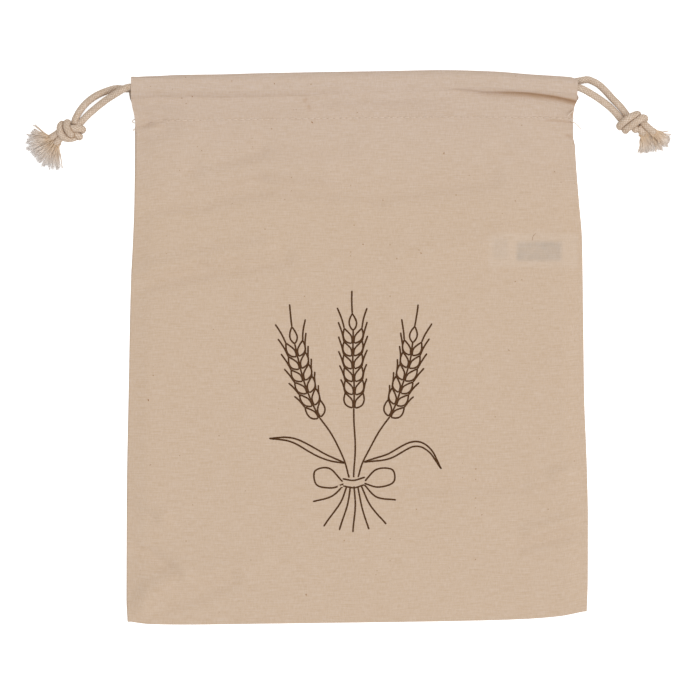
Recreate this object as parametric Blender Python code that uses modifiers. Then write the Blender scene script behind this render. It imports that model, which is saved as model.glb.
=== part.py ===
"""A drawstring bread bag of plain cotton, lying flat on its back with its mouth towards +Y.

Two cut panels, front and back, are each turned over at the top into a channel. Two cords run
through both channels, one knotted at the left side and one at the right, with frayed ends.
Units in the tables are millimetres; everything is placed in metres. The origin is under the
middle of the bag, on the surface that it lies on.
"""

import math
from collections import namedtuple

import bmesh
import bpy
from mathutils import Vector

MM = 0.001

# Driving sizes, in millimetres.
CLOTH = 1.0
GAP = 0.3
CORD = 5.0
HALF_WIDTH = 150.0
COLUMNS = 26
FRONT_BODY_ROWS = 20
BACK_BODY_ROWS = 5
FLAP_INSET = 12.0  # the turned-in layer stops short of the sides, where each cord turns back
PUFF = 1.5  # air between the two panels
EDGE_FALL = 16.0  # distance over which the front comes down to the side and bottom seams

# Heights of the middle of each layer, from the surface up.
LAYER = CLOTH + GAP
REACH = CORD / 2 + GAP + CLOTH / 2  # from a cord's middle to the middle of the cloth round it
BACK_OUTER = CLOTH / 2
BACK_CORD = BACK_OUTER + REACH
BACK_INNER = BACK_CORD + REACH
FRONT_INNER = BACK_INNER + LAYER
FRONT_CORD = FRONT_INNER + REACH
FRONT_OUTER = FRONT_CORD + REACH

# Outline of the flat bag. "along" runs across for the top and bottom, and up for the sides.
Edge = namedtuple("Edge", "along out")
TOP_EDGE = [
    Edge(-150, 179.5), Edge(-110, 180.3), Edge(-70, 181.2), Edge(-18, 181.9), Edge(22, 182.5),
    Edge(55, 183.1), Edge(88, 182.3), Edge(114, 180.3), Edge(140, 178.7), Edge(150, 178.1),
]
BOTTOM_EDGE = [
    Edge(-150, -181.2), Edge(-136, -182.8), Edge(-115, -183.1), Edge(-70, -182.6),
    Edge(0, -181.7), Edge(50, -181.0), Edge(88, -180.2), Edge(114, -179.2), Edge(134, -177.5),
    Edge(150, -174.4),
]
LEFT_EDGE = [
    Edge(-182, -151.6), Edge(-166, -152.3), Edge(-100, -152.1), Edge(-20, -150.7),
    Edge(18, -150.0), Edge(45, -149.3), Edge(71, -148.0), Edge(97, -147.1), Edge(130, -146.7),
    Edge(151, -146.9), Edge(165, -149.0), Edge(180, -149.1),
]
RIGHT_EDGE = [
    Edge(-176, 151.7), Edge(-153, 152.4), Edge(-114, 152.5), Edge(-74, 151.6), Edge(-35, 150.1),
    Edge(31, 149.2), Edge(71, 148.6), Edge(97, 146.5), Edge(124, 144.4), Edge(134, 143.8),
    Edge(139, 142.7), Edge(150, 142.6), Edge(158, 143.4), Edge(164, 144.9), Edge(180, 145.9),
]
STITCH_LINE = [
    Edge(-150, 145.5), Edge(-138, 148.0), Edge(-127, 149.6), Edge(-80, 150.5), Edge(-30, 151.2),
    Edge(61, 152.3), Edge(127, 151.8), Edge(150, 151.1),
]
# Middle of the upper of the two cords that lie side by side in each channel.
UPPER_CORD = [
    Edge(-150, 175.6), Edge(-80, 175.6), Edge(-45, 176.4), Edge(0, 177.6), Edge(80, 178.0),
    Edge(105, 176.4), Edge(130, 174.8), Edge(150, 172.4),
]
CORD_PITCH = 5.5
BACK_LIFT_FROM, BACK_LIFT_TO, BACK_LIFT = 122.0, 150.0, 2.8  # the back's upper cord, at the right
BACK_FOLD_LIFT = 0.9

# Soft folds of the front: a line from one point to another, its half width and its rise.
Fold = namedtuple("Fold", "x0 y0 x1 y1 width rise")
FOLDS = [
    Fold(-127, 97, -50, 105, 11, -1.1),
    Fold(-50, 105, 88, 114, 11, -0.9),
    Fold(-142, 121, -98, 138, 10, 1.3),
    Fold(-140, 110, -104, 122, 8, -0.9),
    Fold(-146, 39, -64, 58, 9, 1.0),
    Fold(-152, -102, -128, -112, 8, 1.3),
    Fold(-152, -134, -130, -142, 8, -1.2),
    Fold(-146, -168, -118, -149, 10, 1.6),
    Fold(-112, -162, -64, -150, 10, -1.0),
    Fold(124, -126, 152, -112, 8, 1.1),
    Fold(132, -84, 153, -80, 8, 0.9),
    Fold(60, -89, 122, -92, 9, -0.8),
]

# The inner label, caught in the right side seam.
LABEL_LEFT, LABEL_RIGHT, LABEL_LOW, LABEL_HIGH = 87.0, 145.5, 53.0, 79.5
LABEL_MARGIN, LABEL_FALL = 13.0, 14.0

CLOTH_COLOUR = (0.608, 0.462, 0.347)
CORD_COLOUR = (0.560, 0.440, 0.340)
LABEL_COLOUR = (0.780, 0.740, 0.680)


def clear_scene():
    for obj in list(bpy.data.objects):
        bpy.data.objects.remove(obj, do_unlink=True)


def new_collection(name):
    collection = bpy.data.collections.new(name)
    bpy.context.scene.collection.children.link(collection)
    return collection


def material(name, colour, roughness):
    made = bpy.data.materials.new(name)
    made.use_nodes = True
    shader = made.node_tree.nodes["Principled BSDF"]
    shader.inputs["Base Color"].default_value = (*colour, 1.0)
    shader.inputs["Roughness"].default_value = roughness
    shader.inputs["Metallic"].default_value = 0.0
    return made


def ease(value, low, high):
    t = min(1.0, max(0.0, (value - low) / (high - low)))
    return t * t * (3 - 2 * t)


def along(table, at):
    """The outline's value at one place, on a smooth curve through the rows (monotone cubic)."""
    if at <= table[0].along:
        return table[0].out
    if at >= table[-1].along:
        return table[-1].out
    i = max(k for k in range(len(table) - 1) if table[k].along <= at)
    slopes = [
        (b.out - a.out) / (b.along - a.along) for a, b in zip(table[:-1], table[1:])
    ]

    def tangent(k):
        if k in (0, len(table) - 1):
            return slopes[min(k, len(slopes) - 1)]
        before, after = slopes[k - 1], slopes[k]
        return 0.0 if before * after <= 0 else 2 * before * after / (before + after)

    a, b = table[i], table[i + 1]
    span = b.along - a.along
    t = (at - a.along) / span
    return (
        (2 * t**3 - 3 * t**2 + 1) * a.out
        + (t**3 - 2 * t**2 + t) * span * tangent(i)
        + (3 * t**2 - 2 * t**3) * b.out
        + (t**3 - t**2) * span * tangent(i + 1)
    )


def upper_cord(x):
    return along(UPPER_CORD, x)


def lower_cord(x):
    return upper_cord(x) - CORD_PITCH


def back_upper_cord(x):
    return upper_cord(x) + BACK_LIFT * ease(x, BACK_LIFT_FROM, BACK_LIFT_TO)


def top_fold(x):
    return along(TOP_EDGE, x)


def back_top_fold(x):
    return top_fold(x) + BACK_FOLD_LIFT * ease(x, BACK_LIFT_FROM, BACK_LIFT_TO)


def stitch_line(x):
    return along(STITCH_LINE, x)


def side_edges(y):
    return along(LEFT_EDGE, y), along(RIGHT_EDGE, y)


def distance_to_line(x, y, fold):
    dx, dy = fold.x1 - fold.x0, fold.y1 - fold.y0
    t = ((x - fold.x0) * dx + (y - fold.y0) * dy) / (dx * dx + dy * dy)
    t = min(1.0, max(0.0, t))
    return math.hypot(x - fold.x0 - t * dx, y - fold.y0 - t * dy)


def front_rise(x, y):
    """How far the front stands above the back below the channel."""
    left, right = side_edges(y)
    inside = min(x - left, right - x, y - along(BOTTOM_EDGE, x))
    edge = ease(inside, 0, EDGE_FALL)
    folds = sum(
        f.rise * math.exp(-((distance_to_line(x, y, f) / f.width) ** 2)) for f in FOLDS
    )
    over_label = (
        (CLOTH + GAP + 0.1)
        * ease(x, LABEL_LEFT - LABEL_MARGIN - LABEL_FALL, LABEL_LEFT - LABEL_MARGIN)
        * ease(y, LABEL_LOW - LABEL_MARGIN - LABEL_FALL, LABEL_LOW - LABEL_MARGIN)
        * (1 - ease(y, LABEL_HIGH + LABEL_MARGIN, LABEL_HIGH + LABEL_MARGIN + LABEL_FALL))
    )
    return max(0.0, PUFF * edge + folds * (0.35 + 0.65 * edge), over_label)


# A section row: the line that it keeps to, its distance from that line, its height, and how
# far its ends stand in from the sides.
Row = namedtuple("Row", "line off height inset")
LINES = {
    "stitches": stitch_line,
    "lower cord": lower_cord,
    "upper cord": upper_cord,
    "between cords": lambda x: (upper_cord(x) + lower_cord(x)) / 2,
    "flat": lambda x: (stitch_line(x) + lower_cord(x) - 8.4) / 2,
    "fold": top_fold,
    "back upper cord": back_upper_cord,
    "back fold": back_top_fold,
}
FRONT_AT_STITCHES = 5.4
BACK_FLAP_FLAT = BACK_OUTER + LAYER

FRONT_ROWS = [
    Row("stitches", -4.5, FRONT_AT_STITCHES - 0.3, 0),
    Row("stitches", 0.0, FRONT_AT_STITCHES, 0),
    Row("flat", 0.0, 7.6, 0),
    Row("lower cord", -8.4, 9.6, 0),
    Row("lower cord", -5.6, 10.9, 0),
    Row("lower cord", -4.2, 11.7, 0),
    Row("lower cord", -3.3, 12.8, 0),
    Row("lower cord", -2.5, 13.9, 0),
    Row("lower cord", -1.4, 14.8, 0),
    Row("lower cord", -0.2, FRONT_OUTER, 0),
    Row("between cords", 0.0, FRONT_OUTER - 0.4, 0),
    Row("upper cord", 0.2, FRONT_OUTER, 0),
    Row("upper cord", 1.4, 14.8, 0),
    Row("upper cord", 2.5, 14.0, 0),
    Row("fold", -0.7, 12.4, 0),
    Row("fold", -0.5, 11.0, 0),
    Row("fold", -0.9, 9.6, 6),
    Row("fold", -2.1, FRONT_INNER + 0.1, FLAP_INSET),
    Row("upper cord", -1.0, FRONT_INNER, FLAP_INSET),
    Row("lower cord", -0.6, FRONT_INNER, FLAP_INSET),
    Row("lower cord", -2.7, 8.2, FLAP_INSET),
    Row("lower cord", -4.4, 7.4, FLAP_INSET),
    Row("lower cord", -5.6, 6.7, FLAP_INSET),
    Row("lower cord", -8.8, 5.7, FLAP_INSET),
    Row("stitches", -2.0, FRONT_AT_STITCHES - 2.0, FLAP_INSET),
]
BACK_ROWS = [
    Row("back fold", -3.0, BACK_OUTER, 0),
    Row("back fold", -1.2, 0.9, 0),
    Row("back fold", -0.5, 2.3, 0),
    Row("back fold", -0.5, 4.2, 2),
    Row("back fold", -1.1, 6.1, 8),
    Row("back upper cord", 1.2, BACK_INNER + 0.1, FLAP_INSET),
    Row("lower cord", -0.2, BACK_INNER, FLAP_INSET),
    Row("lower cord", -1.4, 6.9, FLAP_INSET),
    Row("lower cord", -2.4, 6.1, FLAP_INSET),
    Row("lower cord", -3.4, 4.2, FLAP_INSET),
    Row("lower cord", -4.0, 2.7, FLAP_INSET),
    Row("lower cord", -5.6, BACK_FLAP_FLAT, FLAP_INSET),
    Row("stitches", -3.0, BACK_FLAP_FLAT, FLAP_INSET),
]
FRONT_BODY_TOP = -14.0  # the front's body rows end this far below the stitches


def cloth_from_grid(name, place, rows, collection, finish):
    """A grid laid on the cloth's route, thickened to the cloth's thickness."""
    mesh = bpy.data.meshes.new(name)
    bm = bmesh.new()
    bmesh.ops.create_grid(bm, x_segments=COLUMNS, y_segments=rows - 1, size=0.5)
    for vertex in bm.verts:
        column = round((vertex.co.x + 0.5) * COLUMNS)
        row = round((vertex.co.y + 0.5) * (rows - 1))
        vertex.co = place(column / COLUMNS, row)
    bmesh.ops.recalc_face_normals(bm, faces=bm.faces)
    bm.to_mesh(mesh)
    bm.free()
    obj = bpy.data.objects.new(name, mesh)
    collection.objects.link(obj)
    mesh.materials.append(finish)
    thicken = obj.modifiers.new("thickness", "SOLIDIFY")
    thicken.thickness = CLOTH * MM
    thicken.offset = 0.0
    thicken.use_even_offset = True
    thicken.use_quality_normals = True
    return obj


def on_cloth(share, y, height, inset=0.0):
    left, right = side_edges(y)
    left, right = left + inset, right - inset
    return Vector((left + share * (right - left), y, height)) * MM


def front_point(share, row):
    x = HALF_WIDTH * (2 * share - 1)
    if row <= FRONT_BODY_ROWS:
        low, high = along(BOTTOM_EDGE, x), stitch_line(x) + FRONT_BODY_TOP
        y = low + (high - low) * row / FRONT_BODY_ROWS
        left, right = side_edges(y)
        return on_cloth(share, y, BACK_FLAP_FLAT + front_rise(left + share * (right - left), y))
    line, off, height, inset = FRONT_ROWS[row - FRONT_BODY_ROWS - 1]
    return on_cloth(share, LINES[line](x) + off, height, inset)


def back_point(share, row):
    x = HALF_WIDTH * (2 * share - 1)
    if row <= BACK_BODY_ROWS:
        low, high = along(BOTTOM_EDGE, x), lower_cord(x)
        return on_cloth(share, low + (high - low) * row / BACK_BODY_ROWS, BACK_OUTER)
    line, off, height, inset = BACK_ROWS[row - BACK_BODY_ROWS - 1]
    return on_cloth(share, LINES[line](x) + off, height, inset)


def make_panels(collection):
    cotton = material("unbleached cotton", CLOTH_COLOUR, 0.9)
    cloth_from_grid(
        "front_panel", front_point, FRONT_BODY_ROWS + 1 + len(FRONT_ROWS), collection, cotton
    )
    cloth_from_grid(
        "back_panel", back_point, BACK_BODY_ROWS + 1 + len(BACK_ROWS), collection, cotton
    )


def make_label(collection):
    width, depth = LABEL_RIGHT - LABEL_LEFT, LABEL_HIGH - LABEL_LOW
    bpy.ops.mesh.primitive_plane_add(
        size=1,
        location=Vector(
            ((LABEL_LEFT + LABEL_RIGHT) / 2, (LABEL_LOW + LABEL_HIGH) / 2, CLOTH + GAP + CLOTH / 2)
        ) * MM,
    )
    label = bpy.context.object
    label.name = "care_label"
    for vertex in label.data.vertices:
        vertex.co.x *= width * MM
        vertex.co.y *= depth * MM
    label.data.materials.append(material("label tape", LABEL_COLOUR, 0.8))
    thicken = label.modifiers.new("thickness", "SOLIDIFY")
    thicken.thickness = CLOTH * MM
    thicken.offset = 0.0
    move_to(label, collection)


def move_to(obj, collection):
    for old in list(obj.users_collection):
        old.objects.unlink(obj)
    collection.objects.link(obj)


def smooth_route(points, step):
    """Points about one step apart on a smooth curve through the route's own points."""
    route = [Vector(p) for p in points]
    out = [route[0]]
    for i in range(len(route) - 1):
        p0, p1 = route[max(i - 1, 0)], route[i]
        p2, p3 = route[i + 1], route[min(i + 2, len(route) - 1)]
        pieces = max(1, round((p2 - p1).length / step))
        for k in range(1, pieces + 1):
            t = k / pieces
            out.append(
                0.5
                * (
                    2 * p1
                    + (p2 - p0) * t
                    + (2 * p0 - 5 * p1 + 4 * p2 - p3) * t**2
                    + (3 * p1 - p0 - 3 * p2 + p3) * t**3
                )
            )
    return out


def tube(name, points, radius, sides_resolution, collection):
    """A round cord as a curve object with filled caps. Points and radius in millimetres."""
    curve = bpy.data.curves.new(name, "CURVE")
    curve.dimensions = "3D"
    curve.bevel_depth = radius * MM
    curve.bevel_resolution = sides_resolution
    curve.use_fill_caps = True
    spline = curve.splines.new("POLY")
    spline.points.add(len(points) - 1)
    for point, place in zip(spline.points, points):
        point.co = (*(Vector(place[:3]) * MM), 1.0)
        point.radius = place[3] if len(place) > 3 else 1.0
    obj = bpy.data.objects.new(name, curve)
    collection.objects.link(obj)
    return obj


# Free strands, from the channel's mouth to the knot, as points chosen by hand.
LEFT_FRONT_STRAND = [
    (-150.5, 170.0, 11.6), (-154.5, 168.8, 10.7), (-158.5, 166.8, 9.2), (-165.6, 162.4, 6.0),
    (-173.6, 156.0, 3.4), (-177.6, 152.4, 3.2), (-180.6, 149.4, 3.6),
]
LEFT_BACK_STRAND = [
    (-150.5, 170.2, 3.7), (-155.0, 170.7, 3.1), (-161.0, 170.6, 2.7), (-171.1, 166.7, 2.6),
    (-178.4, 161.8, 2.6), (-183.7, 156.3, 2.7), (-186.3, 151.8, 3.2),
]
RIGHT_FRONT_STRAND = [
    (147.0, 171.9, 11.6), (150.8, 169.8, 10.6), (154.4, 167.6, 9.2), (159.5, 164.3, 6.6),
    (165.2, 160.0, 3.8), (169.2, 156.0, 3.1), (172.4, 151.9, 3.6),
]
RIGHT_BACK_STRAND = [
    (147.4, 175.7, 3.7), (150.4, 176.3, 3.2), (153.6, 176.4, 2.8), (159.2, 174.0, 2.6),
    (164.0, 169.8, 2.6), (168.6, 165.2, 2.6), (174.3, 159.6, 2.7), (177.4, 155.2, 3.2),
]
CHANNEL_STEP = 20.0  # spacing of a route's points inside a channel
CORD_STEP = 11.0  # spacing of the cord's own points
TURN_CLEAR = 1.2  # how far inside the cloth's edge a cord turns back


def turn_back(edge, side, y):
    """Half circle by which a cord goes from the front channel to the back one."""
    middle = (FRONT_CORD + BACK_CORD) / 2
    radius = (FRONT_CORD - BACK_CORD) / 2
    centre = edge - side * (TURN_CLEAR + CORD / 2 + radius)
    return [
        (centre + side * radius * math.cos(a), y, middle + radius * math.sin(a))
        for a in (math.radians(d) for d in (70, 35, 0, -35, -70))
    ]


def channel_run(front_line, back_line, side):
    """A cord's route in through the front channel, round the far side and back."""
    edge = side_edges(front_line(side * HALF_WIDTH))[side > 0]
    stop = edge - side * 14.0
    start = -side * 147.5
    count = round(abs(stop - start) / CHANNEL_STEP)
    xs = [start + (stop - start) * k / count for k in range(count + 1)]
    there = [(x, front_line(x), FRONT_CORD) for x in xs]
    back = [(x, back_line(x), BACK_CORD) for x in reversed(xs)]
    return there + turn_back(edge, side, front_line(edge)) + back


def make_drawstrings(collection):
    cotton = material("cotton cord", CORD_COLOUR, 0.9)
    left = (
        list(reversed(LEFT_FRONT_STRAND))
        + channel_run(lower_cord, lower_cord, 1)
        + LEFT_BACK_STRAND
    )
    right = (
        list(reversed(RIGHT_FRONT_STRAND))
        + channel_run(upper_cord, back_upper_cord, -1)
        + RIGHT_BACK_STRAND
    )
    for name, route in (("left_drawstring", left), ("right_drawstring", right)):
        obj = tube(name, smooth_route(route, CORD_STEP), CORD / 2, 2, collection)
        obj.data.materials.append(cotton)
    return cotton


def as_mesh(obj, collection):
    """The object's evaluated shape as a mesh object with its caps welded."""
    bpy.context.view_layer.update()
    graph = bpy.context.evaluated_depsgraph_get()
    mesh = bpy.data.meshes.new_from_object(obj.evaluated_get(graph))
    bm = bmesh.new()
    bm.from_mesh(mesh)
    bmesh.ops.remove_doubles(bm, verts=bm.verts, dist=1e-6)
    bmesh.ops.recalc_face_normals(bm, faces=bm.faces)
    bm.to_mesh(mesh)
    bm.free()
    made = bpy.data.objects.new(obj.name + ".solid", mesh)
    made.matrix_world = obj.matrix_world
    collection.objects.link(made)
    bpy.data.objects.remove(obj, do_unlink=True)
    return made


def join_all(name, pieces, finish, collection):
    """One body from overlapping pieces, by Boolean unions one after another."""
    body = pieces[0]
    for piece in pieces[1:]:
        union = body.modifiers.new("join", "BOOLEAN")
        union.operation = "UNION"
        union.solver = "EXACT"
        union.object = piece
        joined = as_mesh(body, collection)
        bpy.data.objects.remove(piece, do_unlink=True)
        body = joined
    body.name = name
    body.data.materials.clear()
    body.data.materials.append(finish)
    for polygon in body.data.polygons:
        polygon.material_index = 0
    return body


def ball(centre, radii, collection):
    bpy.ops.mesh.primitive_uv_sphere_add(segments=14, ring_count=8, radius=1)
    made = bpy.context.object
    for vertex in made.data.vertices:
        vertex.co = (vertex.co * Vector(radii) + Vector(centre)) * MM
    move_to(made, collection)
    return made


# Each knot is an overhand knot tied in both strands together. Its turns are listed as they
# pass over its top, from the middle of the knot on the surface.
LEFT_KNOT_AT = (-188.5, 143.3)
LEFT_KNOT_TURNS = [
    [(-1.5, 2.6, 7.6), (3.0, 2.0, 8.3), (7.0, 0.9, 7.0), (8.0, 0.2, 4.6), (6.6, -0.5, 3.0)],
    [(0.5, -1.5, 7.2), (3.5, -3.2, 6.9), (5.6, -4.6, 5.0), (4.6, -5.0, 3.0)],
    [(-1.6, 5.6, 3.4), (-2.8, 5.4, 6.2), (-2.6, 2.8, 8.6), (-1.6, -0.5, 8.9), (0.0, -3.4, 7.4)],
    [(-4.6, 4.4, 3.2), (-6.4, 3.0, 5.6), (-6.0, -0.6, 7.2), (-3.6, -4.2, 6.8), (0.3, -5.6, 5.2),
     (4.0, -4.6, 3.6)],
]
RIGHT_KNOT_AT = (181.5, 148.9)
RIGHT_KNOT_TURNS = [
    [(-7.6, -3.4, 3.2), (-7.6, -2.4, 6.2), (-3.6, 0.9, 8.5), (0.5, 3.7, 8.3), (3.2, 5.4, 6.0),
     (3.9, 5.6, 3.2)],
    [(-4.2, -5.2, 3.2), (-4.0, -4.4, 6.1), (-0.6, -1.9, 8.3), (3.2, 0.9, 8.5), (6.6, 2.9, 7.3),
     (8.0, 2.6, 5.0), (7.6, 1.2, 3.2)],
    [(1.2, -3.0, 5.4), (2.2, -4.4, 4.6), (2.6, -4.8, 3.0)],
]
KNOT_CORE = (7.0, 5.0, 4.6)
TURN_RADIUS = 2.6


def make_knot(name, at, turns, strands, finish, collection):
    """The turns of a knot on one core, with a stub face to face with each strand's end."""
    middle = Vector((*at, 0.0))
    pieces = [ball(middle + Vector((0, 0, 4.9)), KNOT_CORE, collection)]
    for i, turn in enumerate(turns):
        route = smooth_route([middle + Vector(p) for p in turn], 2.4)
        pieces.append(as_mesh(tube(f"turn {i}", route, TURN_RADIUS, 2, collection), collection))
    for i, strand in enumerate(strands):
        end, before = Vector(strand[-1]), Vector(strand[-2])
        ahead = (end - before).normalized()
        start = end + ahead * GAP
        inside = middle + Vector((0, 0, 4.6))
        route = smooth_route([start, start + ahead * 1.5, start.lerp(inside, 0.7)], 2.0)
        pieces.append(as_mesh(tube(f"stub {i}", route, CORD / 2, 2, collection), collection))
    return join_all(name, pieces, finish, collection)


# A frayed end: where the cord leaves the knot, where its yarns part, the bearing of the first
# and the last yarn (degrees from +X), how long these are, and how many yarns there are.
Fray = namedtuple("Fray", "name leaves parts first last first_length last_length yarns")
FRAYS = [
    Fray("left_frayed_end_1", (-197.0, 141.7), (-203.0, 140.4), 144, 212, 10.5, 14.5, 12),
    Fray("left_frayed_end_2", (-194.2, 137.2), (-199.2, 132.6), 209, 292, 16.5, 17.5, 12),
    Fray("right_frayed_end_1", (190.6, 147.0), (195.0, 144.0), -52, -2, 13.0, 12.5, 10),
    Fray("right_frayed_end_2", (186.4, 142.1), (188.8, 138.0), 252, 306, 12.0, 15.0, 10),
]
YARN = 0.8
YARN_PITCH = 0.62
YARN_REST = 0.5  # height of a yarn's middle where it lies on the surface
STUB_HEIGHT = 2.6
STUB_ROUND = math.radians(12)


def stub_section(across, up, width, roundness):
    """A point of the stub's section, from a flat strip (0) to the cord's round (1)."""
    flat = (across * width / 2, up * YARN / 2)
    angle = math.pi - STUB_ROUND - (math.pi - 2 * STUB_ROUND) * (across + 1) / 2
    full = (CORD / 2 * math.cos(angle), CORD / 2 * up * math.sin(angle))
    return [f + (r - f) * roundness for f, r in zip(flat, full)]


def make_frayed_end(fray, finish, collection):
    """A stub that flattens from the cord's round into a strip, whose cells run out as yarns."""
    leaves, parts = Vector((*fray.leaves, 3.0)), Vector((*fray.parts, 1.9))
    ahead = Vector((*(parts - leaves).xy, 0.0)).normalized()
    aside = Vector((-ahead.y, ahead.x, 0.0))
    rise = Vector((0, 0, 1))
    width = fray.yarns * YARN_PITCH

    bm = bmesh.new()
    bmesh.ops.create_grid(bm, x_segments=fray.yarns, y_segments=1, size=1.0)
    cells = list(bm.faces)
    place = {v: (v.co.x, 1.0 if v.co.y > 0 else -1.0) for v in bm.verts}
    ring = cells
    for step, (share, roundness) in enumerate(((1.0, 0.0), (0.55, 0.6), (0.0, 1.0))):
        if step:
            made = bmesh.ops.extrude_face_region(bm, geom=ring)["geom"]
            if ring is not cells:
                bmesh.ops.delete(bm, geom=ring, context="FACES_ONLY")
            ring = [g for g in made if isinstance(g, bmesh.types.BMFace)]
        for face in ring:
            for vertex in face.verts:
                if vertex not in place:
                    near = min(place, key=lambda v: (v.co - vertex.co).length)
                    place[vertex] = place[near]
        centre = leaves.lerp(parts, share)
        for vertex in {v for face in ring for v in face.verts}:
            side, up = stub_section(*place[vertex], width, roundness)
            vertex.co = centre + aside * side + rise * up

    cells.sort(key=lambda face: face.calc_center_median().dot(aside))
    for i, cell in enumerate(cells):
        share = i / (fray.yarns - 1)
        bearing = math.radians(fray.first + (fray.last - fray.first) * share)
        length = fray.first_length + (fray.last_length - fray.first_length) * share
        length *= 1.0 - 0.05 * (i % 3)
        out = Vector((math.cos(bearing), math.sin(bearing), 0.0))
        root = cell.calc_center_median()
        early = ahead.lerp(out, 0.35).normalized()
        route = [
            (root + early * length * 0.12 - rise * 0.3, early, 0.6),
            (root + (early * 0.2 + out * 0.22) * length - rise * 0.9, out, 0.75),
            (root + (early * 0.2 + out * 0.52) * length, out, 0.9),
            (root + (early * 0.2 + out * 0.8) * length, out, 0.6),
        ]
        face, facing = cell, aside
        for k, (middle, heading, thick) in enumerate(route):
            if k >= 2:
                middle.z = YARN_REST
            face = bmesh.ops.extrude_discrete_faces(bm, faces=[face])["faces"][0]
            before = face.calc_center_median()
            beside = Vector((-heading.y, heading.x, 0.0))
            for vertex in face.verts:
                offset = vertex.co - before
                turned = beside * math.copysign(0.5, offset.dot(facing))
                raised = rise * math.copysign(0.5, offset.z)
                vertex.co = middle + (turned + raised) * YARN * thick
            facing = beside

    for vertex in bm.verts:
        vertex.co *= MM
    bmesh.ops.recalc_face_normals(bm, faces=bm.faces)
    mesh = bpy.data.meshes.new(fray.name)
    bm.to_mesh(mesh)
    bm.free()
    mesh.materials.append(finish)
    collection.objects.link(bpy.data.objects.new(fray.name, mesh))


def main():
    clear_scene()
    bag = new_collection("bread bag")
    make_panels(bag)
    make_label(bag)
    cotton = make_drawstrings(bag)
    make_knot(
        "left_knot", LEFT_KNOT_AT, LEFT_KNOT_TURNS, (LEFT_FRONT_STRAND, LEFT_BACK_STRAND),
        cotton, bag,
    )
    make_knot(
        "right_knot", RIGHT_KNOT_AT, RIGHT_KNOT_TURNS, (RIGHT_FRONT_STRAND, RIGHT_BACK_STRAND),
        cotton, bag,
    )
    for fray in FRAYS:
        make_frayed_end(fray, cotton, bag)


main()
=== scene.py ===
"""A drawstring bread bag of unbleached cotton, lying flat on its back, seen from straight above.

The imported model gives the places: origin under the middle of the bag, +Y towards its mouth, +Z up.
Lengths in the tables are millimetres, and every mesh is made in metres.
"""

import math
import random

import bpy
import numpy as np
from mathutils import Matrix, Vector


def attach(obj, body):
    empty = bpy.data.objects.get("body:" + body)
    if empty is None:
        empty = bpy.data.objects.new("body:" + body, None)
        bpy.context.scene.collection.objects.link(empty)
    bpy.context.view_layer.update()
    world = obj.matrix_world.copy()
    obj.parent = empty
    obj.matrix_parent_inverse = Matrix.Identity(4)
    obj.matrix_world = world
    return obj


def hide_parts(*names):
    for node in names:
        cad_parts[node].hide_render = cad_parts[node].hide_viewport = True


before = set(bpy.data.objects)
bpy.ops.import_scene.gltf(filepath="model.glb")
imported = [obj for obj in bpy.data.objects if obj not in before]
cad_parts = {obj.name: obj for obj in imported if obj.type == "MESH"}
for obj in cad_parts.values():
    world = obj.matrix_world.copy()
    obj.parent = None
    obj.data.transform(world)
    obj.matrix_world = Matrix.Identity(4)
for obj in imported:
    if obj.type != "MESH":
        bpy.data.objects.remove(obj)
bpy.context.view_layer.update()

# Camera
# A long lens straight above the bag, with the photograph's whole frame 462 mm wide.
PHOTO_MIDDLE = (-4.7, -1.65)
PHOTO_WIDTH = 462.0
CAMERA_HEIGHT = 4.0
MM = 0.001
SENSOR = 36.0
FOCUS_HEIGHT = 0.009

camera = bpy.data.objects.new("camera", bpy.data.cameras.new("camera"))
bpy.context.scene.collection.objects.link(camera)
camera.data.sensor_width = SENSOR
camera.data.lens = SENSOR * (CAMERA_HEIGHT - FOCUS_HEIGHT) / (PHOTO_WIDTH * MM)
camera.data.clip_start = 0.1
camera.data.clip_end = 30.0
camera.location = (PHOTO_MIDDLE[0] * MM, PHOTO_MIDDLE[1] * MM, CAMERA_HEIGHT)
bpy.context.scene.camera = camera


# Cords
# Two drawstrings of soft braided cotton, 4.6 mm thick. Each runs through both channels and comes
# out at one side as two strands, which meet in a knot. The free strands show their braid.
CORD = 4.6
CORD_PITCH = 5.5
FRONT_CORD, BACK_CORD = 11.7, 3.8
HALF_WIDTH = 150.0
UPPER_CORD = [
    (-150, 175.6), (-80, 175.6), (-45, 176.4), (0, 177.6), (80, 178), (105, 176.4),
    (130, 174.8), (150, 172.4),
]
BACK_LIFT_FROM, BACK_LIFT_TO, BACK_LIFT = 122.0, 150.0, 2.8
LEFT_EDGE = [
    (-182, -151.6), (-166, -152.3), (-100, -152.1), (-20, -150.7), (18, -150), (45, -149.3),
    (71, -148), (97, -147.1), (130, -146.7), (149, -146.7), (154.5, -147.5), (159.5, -148.6),
    (165, -149.2), (180, -149.1),
]
RIGHT_EDGE = [
    (-176, 151.7), (-153, 152.4), (-114, 152.5), (-74, 151.6), (-35, 150.1), (31, 149.2),
    (71, 148.6), (97, 146.5), (124, 144.4), (134, 143.8), (139, 142.7), (150, 142.6),
    (158, 143.4), (164, 144.9), (180, 145.9),
]
LEFT_FRONT_STRAND = [
    (-145, 171.4, 11.7), (-150.5, 171.7, 11.6), (-154.5, 170.3, 10.7), (-158.8, 167.8, 9.2),
    (-166.2, 163.2, 6), (-174.4, 156.8, 3.4), (-178.6, 153, 3.2), (-181.6, 149.8, 3.6),
    (-183.6, 147.4, 4.4), (-184.8, 145.9, 4.8),
]
LEFT_BACK_STRAND = [
    (-145, 170.6, 3.8), (-150.5, 170.8, 3.7), (-155, 171, 3.1), (-161, 170.9, 2.7),
    (-171.1, 167.2, 2.6), (-178.4, 162.2, 2.6), (-183.3, 156.4, 2.7), (-185.8, 151.8, 3.2),
    (-186.6, 149.2, 4), (-187, 147.2, 4.6),
]
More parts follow.
